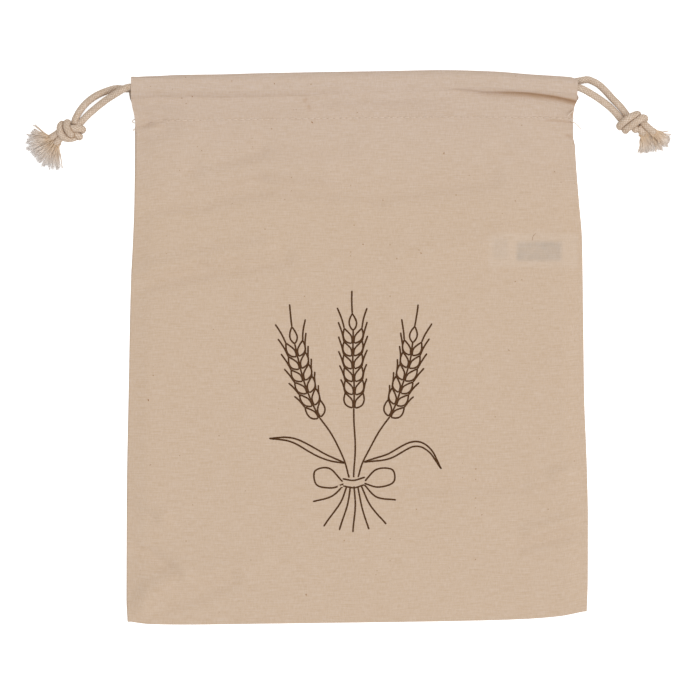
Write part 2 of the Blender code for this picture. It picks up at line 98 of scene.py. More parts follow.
RIGHT_FRONT_STRAND = [
    (142, 172.4, 11.7), (147, 171.2, 11.6), (150.8, 169.5, 10.6), (154.4, 167.5, 9.2),
    (159.7, 164.3, 6.6), (165.8, 159.9, 3.8), (170, 156.1, 3.1), (173.2, 152.3, 3.6),
    (174.8, 150.4, 4.2),
]
RIGHT_BACK_STRAND = [
    (142, 175.4, 3.8), (147.4, 176.3, 3.7), (150.4, 176.9, 3.2), (153.6, 176.8, 2.8),
    (159.2, 174.1, 2.6), (164, 169.8, 2.6), (168.4, 165, 2.6), (173.8, 159.4, 2.7),
    (177, 155.2, 3.2), (178.4, 153, 3.8),
]
BRAID_ROUND = 8  # strands of the braid across one turn of the cord
BRAID_LENGTH = 2.1  # spacing of its crossings along the cord
BRAID_DEPTH = 0.24
BRAID_SIDES = 60
STRAND_STEP = 0.32
SQUEEZED = 1.9  # the cord's radius where the channel holds it
RUN_FROM, RUN_TO = 8, 14  # where a hidden run lies straight: past its start, before the far edge
TURN_GAP = 1.2  # between its turn and the far edge


def along(table, at):
    """Values on a smooth curve through a table's rows (monotone cubic), for many places."""
    xs, ys = np.array(table, float).T
    at = np.clip(np.asarray(at, float), xs[0], xs[-1])
    slopes = np.diff(ys) / np.diff(xs)
    before, after = slopes[:-1], slopes[1:]
    same = before * after > 0
    inner = np.where(same, 2 * before * after / np.where(same, before + after, 1), 0)
    tangents = np.concatenate([slopes[:1], inner, slopes[-1:]])
    i = np.clip(np.searchsorted(xs, at, side="right") - 1, 0, len(xs) - 2)
    span = xs[i + 1] - xs[i]
    t = (at - xs[i]) / span
    return (
        (2 * t**3 - 3 * t**2 + 1) * ys[i]
        + (t**3 - 2 * t**2 + t) * span * tangents[i]
        + (3 * t**2 - 2 * t**3) * ys[i + 1]
        + (t**3 - t**2) * span * tangents[i + 1]
    )


def ease(value, low, high):
    t = np.clip((np.asarray(value, float) - low) / (high - low), 0, 1)
    return t * t * (3 - 2 * t)


def spline(points, pieces):
    """Points on a smooth curve through others, so many pieces from each one to the next."""
    p = [2 * points[0] - points[1], *points, 2 * points[-1] - points[-2]]
    out = []
    for p0, p1, p2, p3, count in zip(p[:-3], p[1:-2], p[2:-1], p[3:], pieces):
        for t in np.arange(count) / count:
            out.append(0.5 * (
                2 * p1 + (p2 - p0) * t + (2 * p0 - 5 * p1 + 4 * p2 - p3) * t**2
                + (3 * p1 - p0 - 3 * p2 + p3) * t**3
            ))
    return np.array([*out, p[-2]])


def smooth_route(points, step):
    """Points about one step apart on a smooth curve through the route's own points."""
    p = np.array(points, float)
    gaps = [np.linalg.norm(there - here) for here, there in zip(p, p[1:])]
    return spline(p, [max(1, round(gap / step)) for gap in gaps])


def run_along(line):
    """How far along a line each of its points lies."""
    return np.concatenate([[0], np.cumsum(np.linalg.norm(np.diff(line, axis=0), axis=1))])


def even_route(points, step):
    """The smooth route again, with its points evenly spaced."""
    route = smooth_route(points, step / 3)
    at = run_along(route)
    new = np.linspace(0, at[-1], max(2, round(at[-1] / step) + 1))
    return np.stack([np.interp(new, at, column) for column in route.T], axis=1)


def frames_along(route):
    """Unit directions along a route and across it, turned as little as possible."""
    ahead = np.gradient(route, axis=0)
    ahead /= np.linalg.norm(ahead, axis=1)[:, None]
    side, sides = np.cross(ahead[0], (0, 0, 1)), []
    for direction in ahead:
        side = side - direction * np.dot(side, direction)
        side = side / np.linalg.norm(side)
        sides.append(side)
    sides = np.array(sides)
    return ahead, sides, np.cross(sides, ahead)


def braid_height(u, v):
    """Rise of a braid's crossings at u mm along and v of a turn round the cord, 0 to 1."""
    one = BRAID_ROUND * v + u / BRAID_LENGTH
    two = BRAID_ROUND * v - u / BRAID_LENGTH
    return np.sqrt(np.abs(np.sin(np.pi * one) * np.sin(np.pi * two)))


def tube_arrays(route, radius, sides, braided):
    """Points, faces and UVs (metres along and round) of a tube with closed, rounded ends."""
    route = np.asarray(route, float)
    count = len(route)
    radii = radius * np.ones(count)
    ahead, side, up = frames_along(route)
    u = run_along(route)
    v = np.arange(sides) / sides
    around = np.cos(2 * np.pi * v)[None, :, None] * side[:, None, :]
    around = around + np.sin(2 * np.pi * v)[None, :, None] * up[:, None, :]
    reach = radii[:, None] * np.ones(sides)
    if braided:
        reach = reach + BRAID_DEPTH * (braid_height(u[:, None], v[None, :]) - 0.6)
    points = (route[:, None, :] + around * reach[:, :, None]).reshape(-1, 3)
    index = np.arange(count * sides).reshape(count, sides)
    here, there = index[:-1], index[1:]
    quads = np.stack([here, np.roll(here, -1, 1), np.roll(there, -1, 1), there], axis=-1)
    uu = np.stack([u[:-1], u[:-1], u[1:], u[1:]], axis=-1)[:, None, :].repeat(sides, 1)
    vv = np.stack([v, v + 1 / sides, v + 1 / sides, v], axis=-1)[None].repeat(count - 1, 0)
    vv = vv * (2 * math.pi * radii.mean())
    faces = quads.reshape(-1, 4).tolist()
    uvs = (np.stack([uu, vv], axis=-1).reshape(-1, 4, 2) * MM).tolist()
    for ring, pole, way in (
        (index[0], route[0] - ahead[0] * radii[0] * 0.3, -1),
        (index[-1], route[-1] + ahead[-1] * radii[-1] * 0.3, 1),
    ):
        for pair in zip(ring.tolist(), np.roll(ring, -1).tolist()):
            faces.append([*pair[::way], len(points)])
            uvs.append([(0, 0)] * 3)
        points = np.vstack([points, pole])
    return points, faces, uvs


def crease_shade_beside(points, routes, radius):
    """How deep each point lies in the crease beside other cords of a radius, 0 to 1, which sets its
    painted shade.
    """
    lines = np.vstack(routes)
    gaps = np.array([np.linalg.norm(lines - p, axis=1).min() for p in np.asarray(points)])
    return 1 - ease(gaps - radius, 0.05, 0.65)


def make_mesh(name, parts, finish, crease_shade=None):
    """One smooth piece from sets of points (mm), faces and UVs, and how much painted crease shade it
    gets.
    """
    points, faces, uvs, start = [], [], [], 0
    for part_points, part_faces, part_uvs in parts:
        points.append(part_points)
        faces.extend([[i + start for i in f] for f in part_faces])
        uvs.extend(part_uvs)
        start += len(part_points)
    mesh = bpy.data.meshes.new(name)
    mesh.from_pydata((np.vstack(points) * MM).tolist(), [], faces)
    layer = mesh.uv_layers.new(name="UVMap")
    layer.data.foreach_set("uv", np.array([c for f in uvs for p in f for c in p], float))
    if crease_shade is not None:
        mesh.attributes.new("crease_shade", "FLOAT", "POINT").data.foreach_set("value", crease_shade)
    mesh.validate()
    mesh.update()
    mesh.polygons.foreach_set("use_smooth", [True] * len(mesh.polygons))
    mesh.materials.append(finish)
    obj = bpy.data.objects.new(name, mesh)
    bpy.context.scene.collection.objects.link(obj)
    return obj


def fit(piece, slot, *nodes):
    """A piece rides on the bag's one body and stands for these solids. Its slot is not used."""
    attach(piece, "root")
    if nodes:
        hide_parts(*nodes)
    return piece


class Nodes:
    """A short way to add and link shader nodes of one material."""

    def __init__(self, name, roughness, colour):
        self.material = bpy.data.materials.new(name)
        self.material.use_nodes = True
        self.tree = self.material.node_tree
        self.shader = self.tree.nodes["Principled BSDF"]
        self.shader.inputs["Roughness"].default_value = roughness
        self.shader.inputs["Base Color"].default_value = (*colour, 1)
        self.shader.inputs["Specular IOR Level"].default_value = 0.15
        self.material.diffuse_color = (*colour, 1)
        places = self.add("ShaderNodeTexCoord").outputs
        self.uv, self.place = places["UV"], places["Object"]

    def add(self, kind, links=(), **values):
        node = self.tree.nodes.new(kind)
        for key, value in values.items():
            setattr(node, key, value)
        for socket, value in dict(links).items():
            target = node.inputs[socket]
            if isinstance(value, bpy.types.NodeSocket):
                self.tree.links.new(value, target)
            else:
                target.default_value = value
        return node

    def math(self, operation, a, b=0.0):
        return self.add("ShaderNodeMath", {0: a, 1: b}, operation=operation).outputs[0]

    def times(self, a, b):
        return self.math("MULTIPLY", a, b)

    def mix(self, factor, a, b, blend="MIX"):
        a, b = ((*c, 1) if isinstance(c, tuple) else c for c in (a, b))
        links = {0: factor, 6: a, 7: b}
        return self.add("ShaderNodeMix", links, data_type="RGBA", blend_type=blend).outputs[2]

    def noise(self, vector, scale, detail=2, rough=0.5):
        links = {"Vector": vector, "Scale": scale, "Detail": detail, "Roughness": rough}
        return self.add("ShaderNodeTexNoise", links).outputs["Fac"]

    def streaks(self, along_x, along_y):
        """Noise that is drawn out, with its scale along each axis of the piece's own UVs."""
        links = {"Vector": self.uv, "Scale": (along_x, along_y, 1)}
        return self.noise(self.add("ShaderNodeMapping", links).outputs[0], 1, 2, 0.6)

    def span(self, value, low, high, new_low=0.0, new_high=1.0):
        links = {"Value": value, 1: low, 2: high, 3: new_low, 4: new_high}
        return self.add("ShaderNodeMapRange", links).outputs[0]

    def bump(self, height, distance, strength=1.0):
        links = {"Height": height, "Distance": distance, "Strength": strength}
        return self.add("ShaderNodeBump", links).outputs[0]

    # The painted shade of a piece's creases, 0 to 1, read from its attribute.
    def crease_shade(self):
        return self.add("ShaderNodeAttribute", attribute_name="crease_shade").outputs["Fac"]

    def finish(self, colour, normal=None):
        self.tree.links.new(colour, self.shader.inputs["Base Color"])
        if normal is not None:
            self.tree.links.new(normal, self.shader.inputs["Normal"])
        return self.material


def cord_material():
    """Braided cotton: fine plies that lean both ways, a little wool-like unevenness, and painted
    shade in the braid's grooves and in creases beside other cords.
    """
    made = Nodes("cotton cord", 0.92, (0.60, 0.475, 0.375))
    split = made.add("ShaderNodeSeparateXYZ", {"Vector": made.uv})
    turn = made.times(split.outputs["Y"], BRAID_ROUND / (math.pi * CORD * MM))
    run = made.times(split.outputs["X"], 1 / (BRAID_LENGTH * MM))
    one = made.math("SINE", made.times(made.math("ADD", turn, run), math.pi))
    two = made.math("SINE", made.times(made.math("SUBTRACT", turn, run), math.pi))
    cross = made.math("ABSOLUTE", made.times(one, two))
    groove_shade = made.span(cross, 0.0, 0.5, 1.0, 0.0)
    blot = made.noise(made.place, 900, 3, 0.6)
    wide = made.noise(made.place, 160)
    colour = made.mix(made.span(wide, 0.35, 0.7), (0.70, 0.57, 0.46), (0.80, 0.665, 0.55))
    colour = made.mix(made.span(blot, 0.45, 0.68, 0, 0.8), colour, (0.56, 0.405, 0.275))
    # Painted shade: darker brown along the braid's grooves between its crossings.
    colour = made.mix(made.times(groove_shade, 0.65), colour, (0.44, 0.295, 0.18))
    # Painted shade: dark brown where the cord lies in a crease beside another cord, and on the
    # knot's core.
    colour = made.mix(made.times(made.crease_shade(), 0.65), colour, (0.30, 0.165, 0.08))
    plies = made.noise(made.uv, 1500, 3, 0.6)
    height = made.math("ADD", made.times(plies, 0.5), made.math("SQRT", cross))
    return made.finish(colour, made.bump(height, 0.0002, 0.9))


cord_cotton = cord_material()


def free_strand(name, route, node):
    path = even_route(route, STRAND_STEP)
    strand = make_mesh(name, [tube_arrays(path, CORD / 2, BRAID_SIDES, True)], cord_cotton)
    return fit(strand, "cotton_cord", node), path


left_front = free_strand("left_front_strand", LEFT_FRONT_STRAND, "left_drawstring")
left_back = free_strand("left_back_strand", LEFT_BACK_STRAND, "left_drawstring")
right_front = free_strand("right_front_strand", RIGHT_FRONT_STRAND, "right_drawstring")
right_back = free_strand("right_back_strand", RIGHT_BACK_STRAND, "right_drawstring")


def upper_cord(x):
    return along(UPPER_CORD, x)


def lower_cord(x):
    return upper_cord(x) - CORD_PITCH


def back_upper_cord(x):
    return upper_cord(x) + BACK_LIFT * ease(x, BACK_LIFT_FROM, BACK_LIFT_TO)


def hidden_run(name, node, start_front, start_back, front_line, back_line, side):
    """The rest of a drawstring, inside the channels, with its turn at the far side."""
    edge = float(along(RIGHT_EDGE if side > 0 else LEFT_EDGE, front_line(side * HALF_WIDTH)))
    xs = np.linspace(start_front[0] + side * RUN_FROM, edge - side * RUN_TO, 16)
    there = [(x, float(front_line(x)), FRONT_CORD) for x in xs]
    back = [(x, float(back_line(x)), BACK_CORD) for x in xs[::-1]]
    middle, radius = (FRONT_CORD + BACK_CORD) / 2, (FRONT_CORD - BACK_CORD) / 2
    centre = edge - side * (TURN_GAP + CORD / 2 + radius)
    level = float(front_line(edge))
    turn = [
        (centre + side * radius * math.cos(a), level, middle + radius * math.sin(a))
        for a in np.radians((70, 35, 0, -35, -70))
    ]
    route = even_route([start_front, *there, *turn, *back, start_back], 2.5)
    run = make_mesh(name, [tube_arrays(route, SQUEEZED, 24, False)], cord_cotton)
    fit(run, "cotton_cord", node)


hidden_run(
    "left_cord_in_channel", "left_drawstring", (-145.4, 171.4, 11.7), (-145.4, 170.6, 3.8),
    lower_cord, lower_cord, 1,
)
hidden_run(
    "right_cord_in_channel", "right_drawstring", (142.4, 172.3, 11.7), (142.4, 175.3, 3.8),
    upper_cord, back_upper_cord, -1,
)


# Knots
# An overhand knot in both strands together, pulled tight. Its turns are listed as they pass
# over the top, from the knot's middle on the surface; what lies under them is one core in painted
# shade.
TURN_RADIUS = 2.42
CORE_RADIUS, CORE_TIP = 3.8, 2.5
KNOT_STEP = 0.34
LEFT_KNOT_AT = (-189.3, 143.3)
LEFT_KNOT_TURNS = [
    [(-1, 1.5, 7.2), (1.8, 1.3, 7.9), (4.4, 1.3, 7.7), (7, 1.1, 6.2), (7.9, 0.7, 4.4),
     (7.4, 0.2, 3)],
    [(0.8, -1.4, 5.8), (3.4, -2.7, 6.1), (5.4, -3.7, 5), (5.8, -4.1, 3)],
    [(-1.9, 5, 3.4), (-2.3, 5, 6.2), (-2.4, 2.2, 8.6), (-1, -0.8, 8.7), (0.8, -3, 6.8),
     (1.6, -3.6, 4.8)],
    [(-5.4, 4.4, 3.4), (-6.5, 3.2, 5.6), (-6.7, 0.2, 7), (-5.9, -2.6, 7), (-3.5, -4.8, 6.4),
     (-0.4, -5.2, 6), (2.5, -4.5, 5.4), (3.8, -3.2, 4)],
]
RIGHT_KNOT_AT = (181.5, 148.9)
RIGHT_KNOT_TURNS = [
    [(-7.7, -3.1, 3.2), (-7.7, -2.1, 6.2), (-3.8, 1.2, 8.5), (0.3, 3.8, 8.3), (3.2, 5, 6),
     (4, 5, 3.2)],
    [(-4.1, -5.4, 3.2), (-3.9, -4.7, 6.1), (-0.4, -2.2, 8.3), (3.4, 0.6, 8.5), (6.8, 2.6, 7.3),
     (8.5, 2.5, 5), (8.1, 1.3, 3.2)],
    [(1.2, -3, 5.4), (2.2, -4.4, 4.6), (2.6, -4.8, 3)],
]


def knot(name, node, at, turns):
    middle = np.array([*at, 0.0])
    routes = [even_route([middle + np.array(p) for p in turn], KNOT_STEP) for turn in turns]
    parts, crease_shades = [], []
    for route in routes:
        parts.append(tube_arrays(route, TURN_RADIUS, BRAID_SIDES, True))
        others = [other for other in routes if other is not route]
        # Each turn gets painted shade in the crease where it lies beside another turn.
        crease_shades.append(crease_shade_beside(parts[-1][0], others, TURN_RADIUS))
    core = even_route([middle + (-4.5, 0, 4.6), middle + (0, 0, 4.9), middle + (4.5, 0, 4.6)], 1.0)
    radii = [CORE_TIP, *[CORE_RADIUS] * (len(core) - 2), CORE_TIP]
    parts.append(tube_arrays(core, radii, 24, False))
    # The core under the turns lies all in painted shade.
    crease_shades.append(np.ones(len(parts[-1][0])))
    tied = make_mesh(name, parts, cord_cotton, np.concatenate(crease_shades))
    return fit(tied, "cotton_cord", node)


left_knot = knot("left_knot_turns", "left_knot", LEFT_KNOT_AT, LEFT_KNOT_TURNS)
right_knot = knot("right_knot_turns", "right_knot", RIGHT_KNOT_AT, RIGHT_KNOT_TURNS)


# Frayed ends
# Past each knot the braid is open, and its fine cotton yarns lie in a fan on the surface. Each
# end has a short stump of cord, thick plies that part from it, and many single yarns.
# Each row: the node, where the cord leaves the knot, where it opens, its first and last bearing,
# the yarns' length at the first, the middle and the last one, and how wide apart they start.
FRAYS = [
    ("left_frayed_end_1", (-195, 143.2), (-202.6, 138.4), 150, 227, (14, 18, 17), 4.4),
    ("left_frayed_end_2", (-195, 140.6), (-199.2, 134.4), 204, 283, (17.6, 18.2, 17), 5.4),
    ("right_frayed_end_1", (188, 149), (196.7, 141.6), -8, -84, (10.2, 12.8, 12.6), 5),
    ("right_frayed_end_2", (185.6, 145.8), (189.9, 141), 254, 322, (12.8, 12.8, 13.4), 6.4),
]
# Single yarns that stray from the fans: the fan's row, bearing, length and sideways start.
STRAYS = [(0, 143, 15, -1.4), (0, 139, 14, 0.6), (1, 285, 16.6, 2), (2, 10, 9.6, -1.2),
          (2, -3, 11.2, -0.8), (3, 251, 13, -2.4)]
YARNS = 230
YARN = 0.4
LOCKS = 17
STUMP_RADII = (2.45, 2.45, 2.25)
LEAVES_AT, OPENS_AT = 3.7, 2.4  # height of the stump at its two ends
# The crease between the yarns of a knot's two ends, past their stumps, which gets a line of painted
# shade.
PARTING_SHADES = {
    "left": ((-197.6, 140.0), (-203.2, 135.8)),
    "right": ((194.6, 139.8), (198.4, 136.3)),
}


def yarn_material():
    """Loose cotton yarns: warm where they leave the cord, greyer and paler at their tips, with
    painted shade where two ends' yarns part.
    """
    made = Nodes("frayed yarns", 0.95, (0.66, 0.56, 0.47))
    split = made.add("ShaderNodeSeparateXYZ", {"Vector": made.uv})
    out = made.span(split.outputs["X"], 0.004, 0.018)
    lot = made.streaks(150, 400)
    near = made.mix(made.span(lot, 0.35, 0.6), (0.58, 0.38, 0.21), (0.84, 0.68, 0.52))
    far = made.mix(made.span(lot, 0.35, 0.6), (0.69, 0.62, 0.57), (0.87, 0.81, 0.77))
    # Painted shade: dark brown along the line where the two ends' yarns part.
    painted_shade = made.times(made.crease_shade(), 0.6)
    return made.finish(made.mix(painted_shade, made.mix(out, near, far), (0.34, 0.19, 0.09)))


yarn_cotton = yarn_material()


def heading(bearing):
    return np.array([math.cos(bearing), math.sin(bearing)])


def yarn(line, radius, number):
    """A fine tube whose UVs are moved on by its number, so that each yarn has its own shade."""
    points, faces, uvs = tube_arrays(line, radius, 4, False)
    return points, faces, [[(u, v + 0.01 * number) for u, v in face] for face in uvs]


def distance_to_line(x, y, x0, y0, x1, y1):
    dx, dy = x1 - x0, y1 - y0
    t = np.clip(((x - x0) * dx + (y - y0) * dy) / (dx * dx + dy * dy), 0, 1)
    return np.hypot(x - x0 - t * dx, y - y0 - t * dy)


def frayed_end(name, leaves, opens, first, last, lengths, wide):
    draw = random.Random(name)
    locks = [(draw.gauss(0, 1.5), 1 - 0.17 * draw.random() ** 1.5) for _ in range(LOCKS + 1)]
    leaves, opens = np.array([*leaves, LEAVES_AT]), np.array([*opens, OPENS_AT])
    foot = opens * (1, 1, 0)
    ahead = (opens - leaves) * (1, 1, 0)
    ahead /= np.linalg.norm(ahead)
    aside = np.array([-ahead[1], ahead[0], 0.0])
    if aside[:2] @ (heading(math.radians(last)) - heading(math.radians(first))) < 0:
        aside = -aside
    line = even_route([leaves, (leaves + opens) / 2, opens], KNOT_STEP)
    radii = np.interp(np.linspace(0, 1, len(line)), (0, 0.7, 1), STUMP_RADII)
    part = tube_arrays(line, radii, BRAID_SIDES, True)
    beside = next(row for row in FRAYS if row[0][:-1] == name[:-1] and row[0] != name)
    start, end = np.array([*beside[1], LEAVES_AT]), np.array([*beside[2], OPENS_AT])
    reach = [start + (end - start) * t for t in np.linspace(0, 1.3, 40)]
    # The stump gets painted shade where it lies beside the other end's stump.
    crease_shade = crease_shade_beside(part[0], [np.array(reach)], STUMP_RADII[0])
    stump = make_mesh(name + "_stump", [part], cord_cotton, crease_shade)
    yarns = []
    for row, bearing, length, start_aside in STRAYS:
        if FRAYS[row][0] == name:
            out = np.array([*heading(math.radians(bearing)), 0])
            start, tip = foot + aside * start_aside, foot + out * length
            middle = (start + tip) / 2 + (0.3, -0.3, 1.2)
            line = smooth_route([start + (0, 0, 2.2), middle, tip + (0, 0, 0.45)], 1.0)
            yarns.append(yarn(line, 0.36, YARNS + len(yarns)))
    for i in range(YARNS):
        turn, cut = locks[round(i / (YARNS - 1) * LOCKS)]
        lock = round(i / (YARNS - 1) * LOCKS) / LOCKS
        share = lock * 0.8 + i / (YARNS - 1) * 0.2
        bearing = math.radians(first + (last - first) * share + turn + draw.gauss(0, 1.6))
        length = np.interp(share, (0, 0.5, 1), lengths)
        length *= cut * (1.04 - 0.16 * draw.random() ** 2)
        out = np.array([*heading(bearing), 0])
        across = np.array([-out[1], out[0], 0])
        height = draw.random()
        bend = draw.gauss(0, 0.45)
        start = foot + aside * (share - 0.5) * wide
        route = np.array([
            start - ahead * 2.2 + (0, 0, 1.2 + 2.6 * height),
            start + (0, 0, 0.7 + 3.2 * height),
            start * 0.55 + foot * 0.45 + out * 0.34 * length + across * bend
            + (0, 0, 0.4 + 2.1 * height),
            foot + out * 0.68 * length + across * bend * 0.4 + (0, 0, 0.25 + 1.1 * height),
            foot + out * length - across * bend + (0, 0, 0.25 + 0.3 * height),
        ])
        thick = YARN * draw.uniform(0.6, 1.3) / 2
        line = smooth_route(route, 1.5)
        taper = np.interp(np.linspace(0, 1, len(line)), (0, 0.7, 1), (1, 1, 0.45)) * thick
        yarns.append(yarn(line, taper, i))
    # Yarns near the parting line get its painted shade.
    (x0, y0), (x1, y1) = PARTING_SHADES[name.split("_")[0]]
    near = np.vstack([points for points, _, _ in yarns])
    gap = distance_to_line(near[:, 0], near[:, 1], x0, y0, x1, y1)
    fan = make_mesh(name + "_yarns", yarns, yarn_cotton, 1 - ease(gap, 0.25, 0.9))
    return [fit(piece, "cotton_cord", name) for piece in (stump, fan)]


left_1, left_2, right_1, right_2 = [frayed_end(*fray) for fray in FRAYS]


# Front panel
# One cut piece of plain unbleached cotton, 0.5 mm thick. It is turned over at the top and sewn
# down into the channel; it tents from the cords down to the lower panel, and lies in soft folds.
CLOTH = 0.5
TOP_EDGE = [
    (-150, 178.9), (-146.5, 178.5), (-143, 178.8), (-131, 179.3), (-118, 179.9), (-90, 180.3),
    (-70, 180.9), (-18, 181.9), (22, 182.5), (55, 183.1),
    (88, 182.3), (114, 180.3), (139.5, 178.6), (141.5, 178.3), (143, 177.6), (150, 177.3),
]
BOTTOM_EDGE = [
    (-150, -181.2), (-136, -182.8), (-115, -183.1), (-70, -182.6), (0, -181.7), (50, -181),
    (88, -180.2), (114, -179.2), (134, -177.5), (150, -174.4),
]
STITCH_LINE = [
    (-150, 145.5), (-138, 148), (-127, 149.6), (-80, 150.5), (-30, 151.2), (61, 152.3),
    (127, 151.8), (150, 151.1),
]
VALLEY_LINE = [
    (-150, 163.2), (-135, 164), (-93, 164.8), (-76, 164.6), (-51, 164.9), (-37, 165.6),
    (-5, 167), (28, 167.8), (60, 169), (72, 169.4), (84, 169.2), (96, 169.3), (108, 169),
    (120, 167.9), (132, 166.1), (140, 164.4), (146, 163),
]
VALLEY_HEIGHT = [
    (-150, 10.2), (-60, 10.3), (-25, 11.2), (0, 12.2), (30, 12.7), (60, 12.6), (80, 9.8),
    (100, 8.9), (125, 8.6), (150, 8.4),
]
BAND_TOP = 14.55
STITCH_HEIGHT = 5.7
SIDE_STITCH_HEIGHT = 2.6
BODY_HEIGHT = 2.9
TENT_LENGTH = 66.0
SEAM_HEIGHT = 1.05
STITCH_DIP = 0.06
EDGE_ROUND = 1.5
EDGE_FALL = 15.0
FLAP_INSET = 12.0
WEAVE = 0.52
# Soft folds: a line from one point to another, its half width and its rise.
FOLDS = [
    (-147, 93, -104, 97.5, 6, -2.4),
    (-104, 97.5, -64, 107, 6, -2.6),
    (-64, 107, 15, 103, 6, -2.4),
    (15, 103, 88, 112, 7, -2.2),
    (-146, 128, -112, 141, 9, 1.4),
    (-110, 117, -64, 130, 5, -1.8),
    (-98, 120, -20, 117, 8, 1.6),
    (-147, 41, -104, 51, 5.5, -2.4),
    (-104, 51, -48, 59, 5.5, -2),
    (-146, 50, -60, 67, 6, 1.6),
    (-152, -102, -128, -112, 5, 2.4),
    (-150, -104, -135, -111, 3, -2),
    (-150, -132.3, -136, -137.6, 3, -3),
    (-136, -137.6, -118, -150, 4, -2.4),
    (-146, -168, -118, -149, 7, 2.8),
    (-130, -173, -84, -153.5, 6, -2),
    (-112, -152, -64, -142, 7, 1.2),
    (107, -131, 149, -120.5, 4.5, -2),
    (115, -122, 152, -111, 5, 1.8),
    (132, -84, 153, -80, 5, 2),
    (-10, -92, 110, -91, 5, -1.4),
    (30, 60, 96, 72, 10, 1.6),
    (98, 132, 138, 118, 7, -1.8),
    (-60, 138, -10, 134, 8, -1.4),
    (-148, 146.2, -139, 147.3, 1.6, -1.3),
    (-139, 147.3, -129, 150, 1.5, -0.6),
    (-147, 142.4, -134, 145.6, 3, 1.6),
]
# Sharper creases where the channel's sewing pulls the cloth, given the same way. Those that sink
# also darken the front's colour as painted shade; the last two lie above the hem stitches and show
# almost only as that painted shade.
CREASES = [
    (124, 150.4, 143, 149.1, 0.7, -0.6),
    (117, 151.8, 143, 150.7, 0.8, 0.35),
    (138.5, 140.2, 145, 138.9, 0.9, -0.9),
    (134, 143.5, 144, 143, 2.2, 0.4),
    (141.4, 156.2, 142.6, 152.6, 1, -1.1),
    (-34.4, 164.8, -30.8, 156, 0.8, -0.9),
]


def side_distance(x, y):
    return np.minimum(x - along(LEFT_EDGE, y), along(RIGHT_EDGE, y) - x)


def rises(table, x, y):
    """The rise of each fold or crease of a table, one by one, at many places."""
    for x0, y0, x1, y1, width, rise in table:
        yield rise * np.exp(-((distance_to_line(x, y, x0, y0, x1, y1) / width) ** 2))


def body_height(x, y):
    """Height of the front's middle surface, below and at the hem stitches."""
    side = side_distance(x, y)
    edge = ease(np.minimum(side, y - along(BOTTOM_EDGE, x)), 0, EDGE_FALL)
    folds, crease_shades = sum(rises(FOLDS, x, y)), sum(rises(CREASES, x, y))
    waves = (
        0.16 * np.sin(x / 23.0 + 1.3 * np.sin(y / 41.0)) * np.sin(y / 31.0 + 0.6)
        + 0.10 * np.sin(x / 11.0 + y / 17.0 + 2.0) * np.sin(y / 13.0 - x / 29.0)
    )
    low = SEAM_HEIGHT + 0.2 + (BODY_HEIGHT - SEAM_HEIGHT - 0.2) * edge
    high = SIDE_STITCH_HEIGHT + (STITCH_HEIGHT - SIDE_STITCH_HEIGHT) * ease(side, 0, 34)
    tent = (1 - ease(along(STITCH_LINE, x) - y, -2, TENT_LENGTH)) ** 1.4
    height = low + tent * (high - low) + (folds + waves) * (0.25 + 0.75 * edge) + crease_shades
    return np.maximum(height, SEAM_HEIGHT + 0.1)


def rounded_edge(z, inside, low):
    """Brings the cloth round its edge down to a low height over a small radius."""
    t = np.clip(inside / EDGE_ROUND, 0, 1)
    return low + (z - low) * np.sqrt(1 - (1 - t) ** 2)


def section_points(x):
    """Control points (y, height) of the front's section above the body, for each x."""
    stitch, valley = along(STITCH_LINE, x), along(VALLEY_LINE, x)
    low, up, top = lower_cord(x), upper_cord(x), along(TOP_EDGE, x)
    side = np.minimum(x + 149, 145.5 - x)
    bottom = along(VALLEY_HEIGHT, x) - 0.8 * (1 - ease(side, 0, 12))
    hem = body_height(x, stitch)
    pleat = ease(x, 66, 92)
    soft = (1 - pleat) * ease(side, 2, 12)
    valley = valley + soft * 0.5 * np.sin(x / 6.1 + 0.8) * np.sin(x / 17.0 + 0.3)
    bottom = bottom + soft * 0.2 * np.sin(x / 8.7 + 2)

    def both(plain, folded):
        return plain + (folded - plain) * pleat

    def climb(run, rise, folded_y, folded_z):
        """A point on the way up from the valley to the band, or round the pleat's lip."""
        plain_y = valley + 0.3 + run * (low - 1.5 - valley)
        plain_z = bottom + 0.25 + rise * (13.9 - bottom)
        return both(plain_y, folded_y), both(plain_z, folded_z)

    bulge = 0.7 * ease(x, -125, -100) * (1 - ease(x, -36, -31)) + 0.5 * ease(x, 20, 60)
    return [
        (stitch + 0.8, hem + 0.2),
        (stitch + 2.4, hem + 0.12 * (bottom - hem) + 0.4 * bulge),
        ((stitch + valley) / 2, (hem + bottom) / 2 + 0.1 + bulge),
        (valley - both(4, 3.4), bottom - both(0.6, 0.3)),
        (valley - both(1.7, 0.4), bottom - both(0.12, 0)),
        climb(0, 0, valley + 1.1, bottom + 0.3),
        climb(0.19, 0.2, valley + 0.7, bottom + 1.1),
        climb(0.42, 0.5, valley - 0.1, bottom + 2),
        climb(0.74, 0.79, valley - 0.35, 12),
        climb(1, 1, low - 1.2, 13.6),
        (low - 0.1, BAND_TOP),
        ((low + up) / 2, BAND_TOP - 0.22),
        (up + 0.4, BAND_TOP),
        (up + 2, BAND_TOP - 0.5),
        (top - 1, 12.9),
        (top - 0.35, 11.6),
        (top - 0.5, 10.2),
        (top - 1.6, 8.9),
        (up - 0.5, 8.5),
        (low - 0.2, both(8.4, 7.9)),
        (low - 2.6, both(8.5, 7.2)),
        (low - 5.6, both(7.2, 6.3)),
        (stitch + 3, hem - 0.1),
        (stitch - 2.6, hem - 0.7),
    ]


